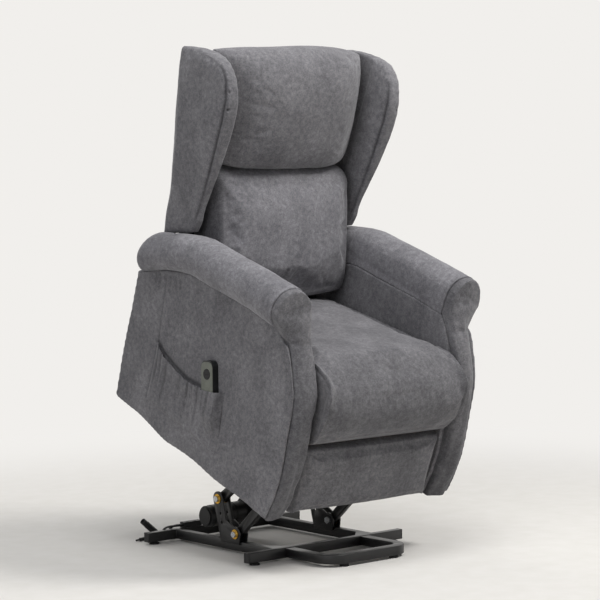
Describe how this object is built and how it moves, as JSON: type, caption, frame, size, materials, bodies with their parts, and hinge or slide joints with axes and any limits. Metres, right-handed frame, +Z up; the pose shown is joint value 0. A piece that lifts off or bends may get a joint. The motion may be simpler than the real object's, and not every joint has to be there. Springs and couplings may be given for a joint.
{
  "type": "lift recliner chair",
  "caption": "Powered lift recliner with rolled arms, winged two-cushion back, folding footrest, side pocket with handset and a scissor lift base, shown raised and tilted forward.",
  "frame": {"origin": "middle of the footprint's bounding box at floor level, cords left out", "axes": "+X to the sitter's left, +Y to the back of the chair, +Z up; the chair stands as drawn, lift raised"},
  "size_m": [0.718, 0.8143, 1.3445],
  "materials": {
    "upholstery": "brushed chenille",
    "black_steel": "matt powder coat",
    "dark_steel": "satin",
    "bright_steel": "zinc plated",
    "brass": "turned",
    "black_plastic": "matt",
    "rubber_black": "matt",
    "frame_wood": "raw beech and plywood",
    "handset_panel": "satin",
    "button_rubber": "soft matt"
  },
  "bodies": {
    "base": {"base_frame": "black_steel", "front_loop": "black_steel", "tube_caps": "black_plastic", "base_feet": "rubber_black", "pivot_bracket_left": "black_steel", "pivot_bracket_right": "black_steel", "pivot_bolts": "bright_steel", "pivot_bushings": "brass", "motor_clevis": "black_steel", "motor_lead": "black_plastic", "inline_connector": "black_plastic", "lead_connector": "black_plastic", "small_plug": "black_plastic"},
    "lower_arms": {"lower_arm_left": "black_steel", "lower_arm_right": "black_steel", "lower_arm_tube": "black_steel"},
    "upper_arm_left": {"upper_arm_left": "black_steel"},
    "upper_arm_right": {"upper_arm_right": "black_steel"},
    "actuator": {"gearbox": "black_steel", "drive_motor": "black_steel", "motor_end_cap": "black_plastic", "actuator_tube": "black_steel"},
    "actuator_rod": {"actuator_rod": "bright_steel"},
    "chair": {"seat_box": "frame_wood", "seat_springs": "bright_steel", "mech_plate_left": "dark_steel", "mech_plate_right": "dark_steel", "mech_tubes": "black_steel", "lift_bracket_left": "black_steel", "lift_bracket_right": "black_steel", "actuator_crossbar": "black_steel", "chair_pins": "bright_steel", "arm_body_left": "upholstery", "arm_body_right": "upholstery", "arm_roll_left": "upholstery", "arm_roll_right": "upholstery", "arm_front_left": "upholstery", "arm_front_right": "upholstery", "side_pocket": "upholstery", "rear_skirt": "upholstery", "seat_cushion": "upholstery"},
    "back": {"back_frame": "frame_wood", "back_hinges": "dark_steel", "back_shell": "upholstery", "wing_left": "upholstery", "wing_right": "upholstery", "head_cushion": "upholstery", "back_cushion": "upholstery"},
    "foot_a": {"footrest_links_a": "dark_steel"},
    "foot_b": {"footrest_links_b": "dark_steel"},
    "foot_c": {"footrest_links_c": "dark_steel"},
    "foot_d": {"footrest_links_d": "dark_steel"},
    "footrest": {"footrest_board": "frame_wood", "footrest_pad": "upholstery"},
    "handset": {"handset_body": "black_plastic", "handset_face": "handset_panel"},
    "button_up": {"button_up": "button_rubber"},
    "button_down": {"button_down": "button_rubber"}
  },
  "joints": [
    {"name": "lift", "type": "hinge", "parent": "base", "child": "lower_arms", "pos_m": [0, 0.0621, 0.052], "axis": [1, 0, 0], "range_deg": [0, 35.22]},
    {"name": "chair_tilt", "type": "hinge", "parent": "lower_arms", "child": "chair", "pos_m": [0, -0.12888, 0.22097], "axis": [1, 0, 0], "range_deg": [-56.52, 0]},
    {"name": "upper_arm_left_swing", "type": "hinge", "parent": "base", "child": "upper_arm_left", "pos_m": [0, 0.1341, 0.139], "axis": [1, 0, 0], "range_deg": [0, 40.28]},
    {"name": "upper_arm_right_swing", "type": "hinge", "parent": "base", "child": "upper_arm_right", "pos_m": [0, 0.1341, 0.139], "axis": [1, 0, 0], "range_deg": [0, 40.28]},
    {"name": "actuator_swing", "type": "hinge", "parent": "base", "child": "actuator", "pos_m": [0, 0.2681, 0.037], "axis": [1, 0, 0], "range_deg": [0, 25.85]},
    {"name": "actuator_stroke", "type": "slide", "parent": "actuator", "child": "actuator_rod", "axis": [0, -0.7311, 0.6822], "range_m": [-0.06492, 0]},
    {"name": "recline", "type": "hinge", "parent": "chair", "child": "back", "pos_m": [0, 0.21308, 0.55984], "axis": [-1, 0, 0], "range_deg": [0, 38]},
    {"name": "foot_link_a", "type": "hinge", "parent": "chair", "child": "foot_a", "pos_m": [0, -0.16346, 0.39693], "axis": [-1, 0, 0], "range_deg": [0, 120]},
    {"name": "foot_link_c", "type": "hinge", "parent": "foot_a", "child": "foot_c", "pos_m": [0, -0.01238, 0.33061], "axis": [-1, 0, 0], "range_deg": [-106.5, 0]},
    {"name": "footrest_turn", "type": "hinge", "parent": "foot_c", "child": "footrest", "pos_m": [0, -0.21821, 0.29508], "axis": [-1, 0, 0], "range_deg": [0, 71.5]},
    {"name": "foot_link_b", "type": "hinge", "parent": "chair", "child": "foot_b", "pos_m": [0, -0.20986, 0.4003], "axis": [-1, 0, 0], "range_deg": [0, 116.5]},
    {"name": "foot_link_d", "type": "hinge", "parent": "foot_b", "child": "foot_d", "pos_m": [0, -0.03012, 0.30594], "axis": [-1, 0, 0], "range_deg": [-93.7, 0]},
    {"name": "handset_slide", "type": "slide", "parent": "chair", "child": "handset", "axis": [0, 0, 1], "range_m": [0, 0.16]},
    {"name": "press_up", "type": "slide", "parent": "handset", "child": "button_up", "axis": [1, 0, 0], "range_m": [0, 0.0015], "stiffness_N_per_m": 1200, "springref_m": -0.001},
    {"name": "press_down", "type": "slide", "parent": "handset", "child": "button_down", "axis": [1, 0, 0], "range_m": [0, 0.0015], "stiffness_N_per_m": 1200, "springref_m": -0.001}
  ],
  "couplings": [
    {"joint": "chair_tilt", "follows": "lift", "ratio": -1.6047},
    {"joint": "upper_arm_left_swing", "follows": "lift", "ratio": 1.1437},
    {"joint": "upper_arm_right_swing", "follows": "lift", "ratio": 1.1437},
    {"joint": "actuator_swing", "follows": "lift", "ratio": 0.7339},
    {"joint": "actuator_stroke", "follows": "lift", "m_per_rad": -0.10561},
    {"joint": "foot_link_a", "follows": "recline", "ratio": 3.1579},
    {"joint": "foot_link_c", "follows": "recline", "ratio": -2.8026},
    {"joint": "footrest_turn", "follows": "recline", "ratio": 1.8816},
    {"joint": "foot_link_b", "follows": "recline", "ratio": 3.0658},
    {"joint": "foot_link_d", "follows": "recline", "ratio": -2.4658}
  ]
}
